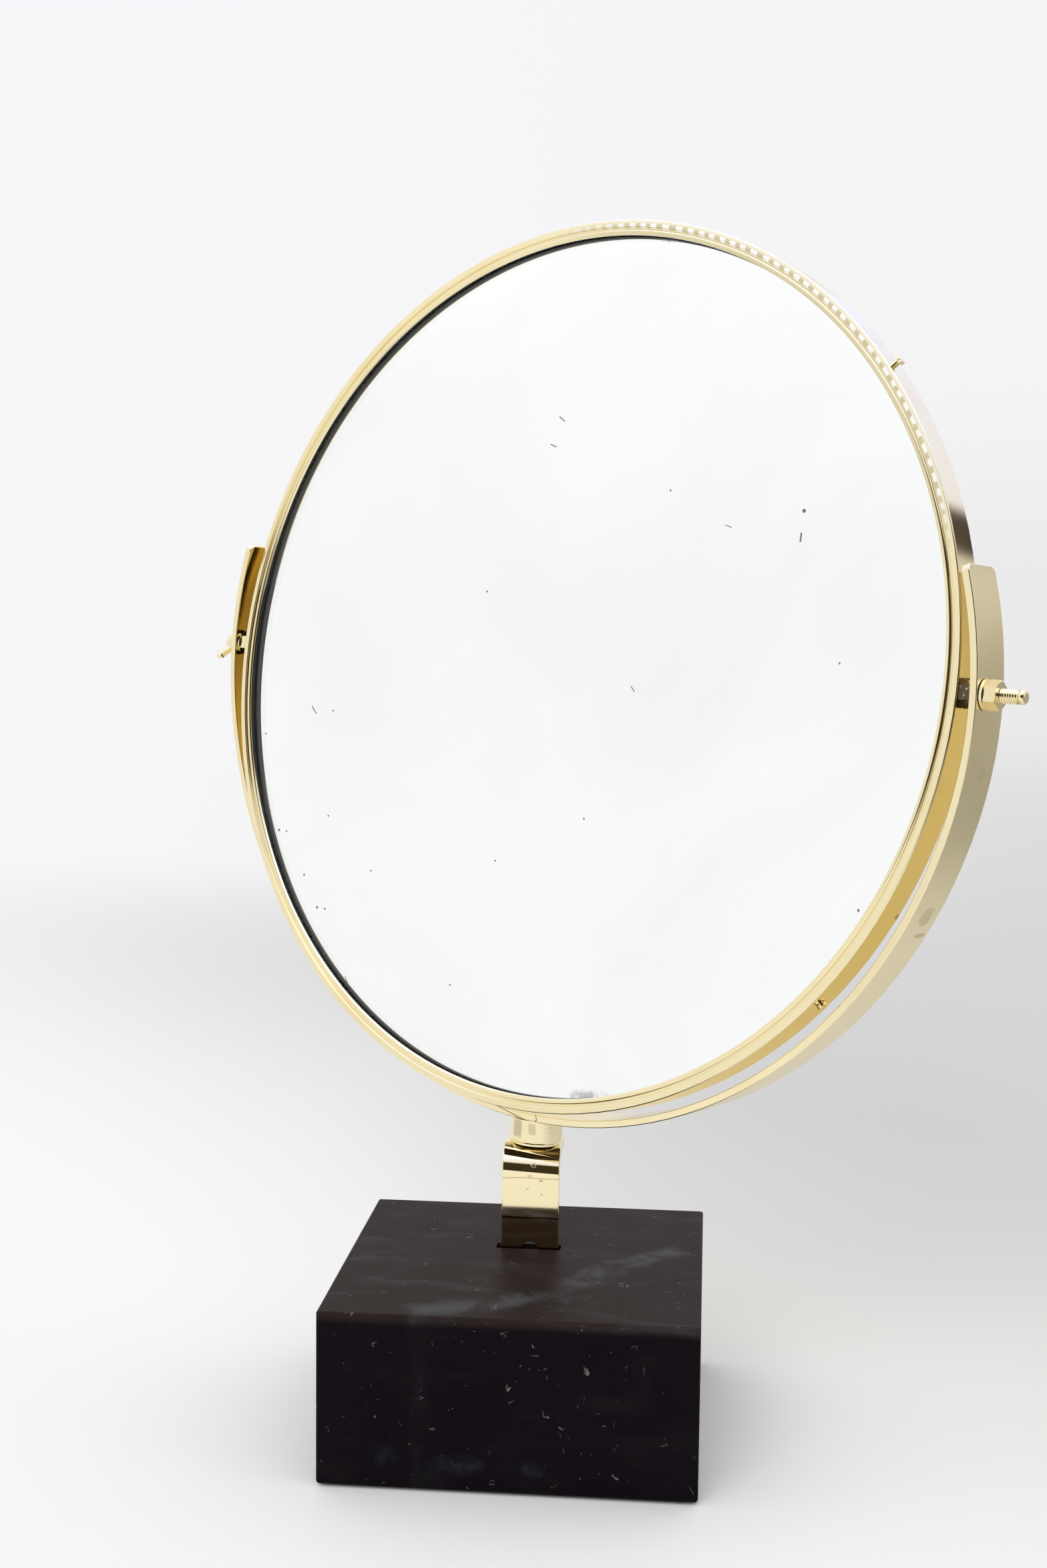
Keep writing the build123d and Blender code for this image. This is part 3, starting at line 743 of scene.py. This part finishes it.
# A ring's round bead, and the thin flange outside it
BEAD_WIDTH = 2.4 * MM
BEAD_FLANGE = 0.4 * MM
BEAD_STEPS = 20


def round_bead(name, node, outward, material):
    """A retaining ring with a round bead, a groove outside it and a thin flange."""
    low, high = reach(node, outward)
    inner, outer = radii(node, mirror_out)
    half = BEAD_WIDTH / 2
    rise = high - low - BEAD_FLANGE
    outline = [(outer, low), (outer, low + BEAD_FLANGE)]
    for step in range(BEAD_STEPS + 1):
        turn = math.pi * step / BEAD_STEPS
        away = inner + half + half * math.cos(turn)
        outline.append((away, low + BEAD_FLANGE + rise * math.sin(turn)))
    outline.append((inner, low))
    corners, faces = turned(outline, outward, across, pivot, 360, closed=True)
    return new_piece(name, corners, faces, material, node, 40)


# The studs' thread, the radius of a stud's domed end, and how finely both are cut
THREAD_PITCH = 1.0 * MM
THREAD_DEPTH = 0.32 * MM
THREAD_SIDES = 40
THREAD_ROWS = 8
STUD_END_ROUND = 1.6 * MM
STUD_END_ROWS = 9


def threaded_stud(name, node, axis, material, nose=None):
    """A stud with a rolled thread. A nose is (length, relief) of its smooth end."""
    low, high = reach(node, axis)
    _, radius = radii(node, axis)
    smooth = nose[0] if nose else STUD_END_ROUND
    relief = nose[1] if nose else 0.0
    side = mirror_up
    other = axis.cross(side).normalized()
    thread_end = high - smooth
    count = int((thread_end - low) / THREAD_PITCH * THREAD_ROWS)
    heights = [low + (thread_end - low) * i / count for i in range(count + 1)]
    corners, faces = [], []

    def ring_at(height, size, threaded):
        for step in range(THREAD_SIDES):
            share = step / THREAD_SIDES
            turn = 2 * math.pi * share
            phase = (height / THREAD_PITCH - share) % 1.0
            groove = THREAD_DEPTH * (1 - abs(2 * phase - 1)) if threaded else 0.0
            way = side * math.cos(turn) + other * math.sin(turn)
            corners.append(pivot + axis * height + way * (size - groove))

    for height in heights:
        ring_at(height, radius, True)
    if nose:
        ring_at(thread_end, radius - relief, False)
        ring_at(thread_end + relief, radius - relief, False)
        ring_at(thread_end + relief * 1.6, radius * 0.97, False)
    tip = high - STUD_END_ROUND
    for step in range(STUD_END_ROWS):
        turn = math.pi / 2 * step / STUD_END_ROWS
        size = radius - STUD_END_ROUND * (1 - math.cos(turn))
        ring_at(tip + STUD_END_ROUND * math.sin(turn), size, False)
    rings = len(corners) // THREAD_SIDES
    for ring in range(rings - 1):
        low_ring = ring * THREAD_SIDES
        high_ring = low_ring + THREAD_SIDES
        for step in range(THREAD_SIDES):
            following = (step + 1) % THREAD_SIDES
            faces.append([low_ring + step, low_ring + following, high_ring + following, high_ring + step])
    last = (rings - 1) * THREAD_SIDES
    corners.append(pivot + axis * high)
    for step in range(THREAD_SIDES):
        faces.append([last + step, last + (step + 1) % THREAD_SIDES, len(corners) - 1])
    faces.append(list(range(THREAD_SIDES))[::-1])
    return new_piece(name, corners, faces, material, node, 50)


# Studio: a pale floor that meets a pale world, one soft lamp from the left

# Camera, solved from the block's edges and the frame's ellipse
CAMERA_PLACE = Vector((74.1, -824.5, 347.8)) * MM
CAMERA_LEFT_DEG = 5.32
CAMERA_DOWN_DEG = 5.20
CAMERA_ROLL_DEG = 0.61
CAMERA_LENS = 46.0
SENSOR = 36.0

# The paper behind the mirror as the camera sees it, at the left and at the right
PAPER_LEFT = (0.93, 0.93, 0.955)
PAPER_RIGHT = (0.905, 0.905, 0.905)
HORIZON_RIGHT = tuple(tone * 0.91 for tone in PAPER_RIGHT)
# What the brass and the mirror see round them: a window's cool light and a small dark patch,
# as directions and tones, then the tones of the dark room, of the far side low and high, and
# of the upper air
WINDOW_WAY = (0.456, 0.824, 0.342)
WINDOW_TONE = (0.95, 1.0, 1.35)
DARK_PATCH_WAY = (0.7485, 0.6127, 0.2538)
DARK_PATCH_TONE = (0.07, 0.055, 0.05)
ROOM_TONE = (0.045, 0.035, 0.02)
FAR_LOW_TONE = (0.46, 0.45, 0.44)
FAR_HIGH_TONE = (0.78, 0.77, 0.77)
UPPER_TONE = (1.05, 1.12, 1.45)


def studio_world():
    """Pale paper all round, but for the dark room in front and the greyer far side."""
    world = bpy.data.worlds.new("studio")
    bpy.context.scene.world = world
    world.use_nodes = True
    sky = Finish("studio", world.node_tree)
    way = sky.make("ShaderNodeTexCoord", out="Generated")
    rise = way.along((0, 0, 1))
    level = (1 - rise * rise).most(0.001) ** 0.5
    front = way.along((0, -1, 0)) / level
    right_back = way.along((0.86, 0.50, 0.0)) / level
    dark_room = front.rise(0.55, 0.85) * rise.rise(-0.16, -0.06) * rise.rise(0.62, 0.50)
    far_side = right_back.rise(0.35, 0.85) * rise.rise(0.95, 0.45)
    cool_window = way.along(WINDOW_WAY).rise(0.935, 0.962)
    dark_patch = way.along(DARK_PATCH_WAY).rise(0.9972, 0.9995)
    paper = sky.noise(way, 0.22, 4.0, 0.55, 1.0).rise(0.3, 0.7)
    bright = 0.93 + paper * 0.06 + rise.rise(0.15, 0.45) * 0.08
    far_tone = sky.mix(rise.rise(-0.05, 0.25), FAR_LOW_TONE, FAR_HIGH_TONE)
    shown = sky.mix(far_side, (1.0, 1.0, 1.0), far_tone) * bright
    shown = sky.mix(cool_window, shown, WINDOW_TONE)
    shown = sky.mix(rise.rise(0.52, 0.70), shown, UPPER_TONE)
    shown = shown + rise.rise(0.74, 0.86) * 1.1
    shown = sky.mix(dark_room, shown, ROOM_TONE)
    shown = sky.mix(dark_patch, shown, DARK_PATCH_TONE)
    side = way.along((1, 0, 0)).rise(-0.30, 0.20)
    seen = sky.mix(side, PAPER_LEFT, PAPER_RIGHT) * (1 - side * rise.rise(0.12, 0.0) * 0.09)
    rays = {name: sky.make("ShaderNodeLightPath", out=name) for name in
            ("Is Camera Ray", "Is Glossy Ray", "Is Transmission Ray")}
    mirrored = rays["Is Glossy Ray"].most(rays["Is Transmission Ray"])
    ambient = sky.make("ShaderNodeBackground", None, {"Color": (1.0, 1.0, 1.0, 1.0), "Strength": 0.90})
    reflected = sky.make("ShaderNodeBackground", None, {"Color": shown, "Strength": 1.0})
    camera_view = sky.make("ShaderNodeBackground", None, {"Color": seen, "Strength": 1.0})
    light = sky.make("ShaderNodeMixShader", None, {0: mirrored, 1: ambient, 2: reflected})
    light = sky.make("ShaderNodeMixShader", None, {0: rays["Is Camera Ray"], 1: light, 2: camera_view})
    sky.make("ShaderNodeOutputWorld", None, {"Surface": light})


FLOOR_RADIUS = 6.0
FLOOR_SIDES = 96
# The floor's colour near the block at the left and at the right, and its tone far out; the darker right is
# painted shade
FLOOR_LEFT = (0.955, 0.955, 0.960)
FLOOR_RIGHT_PAINTED_SHADE = (0.72, 0.715, 0.72)
HAZE_LEFT = (0.925, 0.925, 0.93)
HAZE_RIGHT_PAINTED_SHADE = (0.70, 0.695, 0.70)
# The grey that the brass sees where the paper ends, in the paint and in the haze
BEYOND_PAINT = (0.42, 0.41, 0.40)
BEYOND_HAZE = (0.44, 0.43, 0.42)


def studio_floor():
    """A broad pale floor that keeps the shadow and fades into the paper far out. It is
    painted greyer at the right and back, as painted shade. The brass sees it turn grey where the paper
    ends."""
    turns = [2 * math.pi * i / FLOOR_SIDES for i in range(FLOOR_SIDES)]
    corners = [(FLOOR_RADIUS * math.cos(turn), FLOOR_RADIUS * math.sin(turn), 0.0) for turn in turns]
    mesh = bpy.data.meshes.new("floor")
    mesh.from_pydata(corners, [], [list(range(FLOOR_SIDES))])
    floor = bpy.data.objects.new("floor", mesh)
    bpy.context.scene.collection.objects.link(floor)
    paint = Finish("floor_paint")
    point = paint.place()
    far = paint.make("ShaderNodeVectorMath", {"operation": "LENGTH"}, {0: point}, out="Value")
    from_camera = paint.place(CAMERA_PLACE)
    bearing = paint.make("ShaderNodeVectorMath", {"operation": "NORMALIZE"}, {0: from_camera}, out="Vector")
    side = bearing.along((1, 0, 0)).rise(-0.30, 0.20)
    camera_ray = paint.make("ShaderNodeLightPath", out="Is Camera Ray")
    beyond = point.along((1.0, -0.22, 0.0)).rise(0.30, 0.75) * (1 - camera_ray)
    # Painted shade: the floor is made darker towards the right and back
    shade_to_right = point.along((0.8, 0.6, 0.0)).rise(-0.10, 0.55)
    near_tone = paint.mix(shade_to_right, FLOOR_LEFT, FLOOR_RIGHT_PAINTED_SHADE)
    near_tone = paint.mix(beyond, near_tone, BEYOND_PAINT)
    matt = paint.make("ShaderNodeBsdfDiffuse", None, {"Color": near_tone})
    # Painted shade: the far glow is made darker towards the right
    haze = paint.mix(side, HAZE_LEFT, HAZE_RIGHT_PAINTED_SHADE)
    horizon = paint.mix(side, PAPER_LEFT, HORIZON_RIGHT)
    haze = paint.mix(far.rise(1.2, 5.5), haze, horizon)
    haze = paint.mix(beyond, haze, BEYOND_HAZE)
    glow = paint.make("ShaderNodeEmission", None, {"Color": haze, "Strength": 1.0})
    both = paint.make("ShaderNodeMixShader", None, {0: far.rise(0.8, 2.0), 1: matt, 2: glow})
    paint.make("ShaderNodeOutputMaterial", None, {"Surface": both})
    mesh.materials.append(paint.material)


def soft_lamp(name, place, target, size, power):
    """A square soft lamp that looks at a target. The world alone shows in reflections."""
    lamp = bpy.data.lights.new(name, "AREA")
    lamp.shape = "SQUARE"
    lamp.size = size
    lamp.energy = power
    holder = bpy.data.objects.new(name, lamp)
    holder.location = place
    holder.rotation_euler = (Vector(target) - Vector(place)).to_track_quat("-Z", "Y").to_euler()
    holder.visible_glossy = False
    bpy.context.scene.collection.objects.link(holder)


def photo_camera():
    left, down, roll = (math.radians(a) for a in (CAMERA_LEFT_DEG, CAMERA_DOWN_DEG, CAMERA_ROLL_DEG))
    ahead = Vector((-math.sin(left) * math.cos(down), math.cos(left) * math.cos(down), -math.sin(down)))
    level_right = Vector((math.cos(left), math.sin(left), 0.0))
    level_up = level_right.cross(ahead)
    right = level_right * math.cos(roll) + level_up * math.sin(roll)
    up = level_up * math.cos(roll) - level_right * math.sin(roll)
    turn = Matrix((right, up, -ahead)).transposed().to_4x4()
    data = bpy.data.cameras.new("photo_camera")
    data.sensor_fit = "AUTO"
    data.sensor_width = SENSOR
    data.lens = CAMERA_LENS
    data.clip_start = 0.01
    camera = bpy.data.objects.new("photo_camera", data)
    camera.matrix_world = Matrix.Translation(CAMERA_PLACE) @ turn
    bpy.context.scene.collection.objects.link(camera)
    bpy.context.scene.camera = camera


photo_camera()
studio_world()
studio_floor()
soft_lamp("key_softbox", place=(-0.60, -1.85, 1.70), target=(0.0, 0.0, 0.2), size=1.2, power=13.5)

ring_brass = polished_brass("ring_brass", round_the_head, 0.05, 0.001 * MM, painted_band_glints)
band_brass = polished_brass("band_brass", round_the_head, 0.07, 0.002 * MM, painted_band_glints)
yoke_brass = polished_brass("yoke_brass", across_the_bar, 0.09, 0.003 * MM, yoke_wear_and_reflection)
stem_brass = polished_brass("stem_brass", None, 0.05, 0.001 * MM, stem_wear_and_reflection)
collar_brass = polished_brass("collar_brass", turned_lines, 0.07, 0.004 * MM, collar_marks)
small_brass = polished_brass("small_brass", None, 0.10)
back_brass = polished_brass("back_brass", None, 0.28)
nut_brass = polished_brass("nut_brass", None, 0.10, marks=inner_nut_painted_dark)

assign("marble_base", black_marble())
assign("felt_pad", dark_felt())
assign("stem_bedding", bedding_resin())
assign("stem", stem_brass)
for node in ("swivel_disc", "yoke_collar"):
    assign(node, collar_brass)
assign("yoke", yoke_brass)
assign("frame_band", band_brass)
round_bead("front_bead_ring", "front_retaining_ring", mirror_out, ring_brass)
round_bead("rear_bead_ring", "rear_retaining_ring", -mirror_out, ring_brass)
assign("glass_gasket", black_rubber())
assign("silvering", silver_coat())
assign("backing_board", back_board())
assign("back_plate", back_brass)
steel = plain_steel()
for node in ("swivel_screw", "swivel_spring_washer", "swivel_nut"):
    assign(node, steel)
for node in ("pivot_jam_nuts", "inner_washers"):
    assign(node, nut_brass)
for node in ("retaining_screws", "left_clamp_washer", "right_clamp_washer", "left_wing_nut",
             "right_pivot_nut"):
    assign(node, small_brass)

glass_pane(clear_glass())
threaded_stud("right_threaded_stud", "right_pivot_stud", across, small_brass, (3.3 * MM, 0.5 * MM))
threaded_stud("left_threaded_stud", "left_pivot_stud", -across, small_brass)

bpy.context.scene.view_settings.view_transform = "Standard"
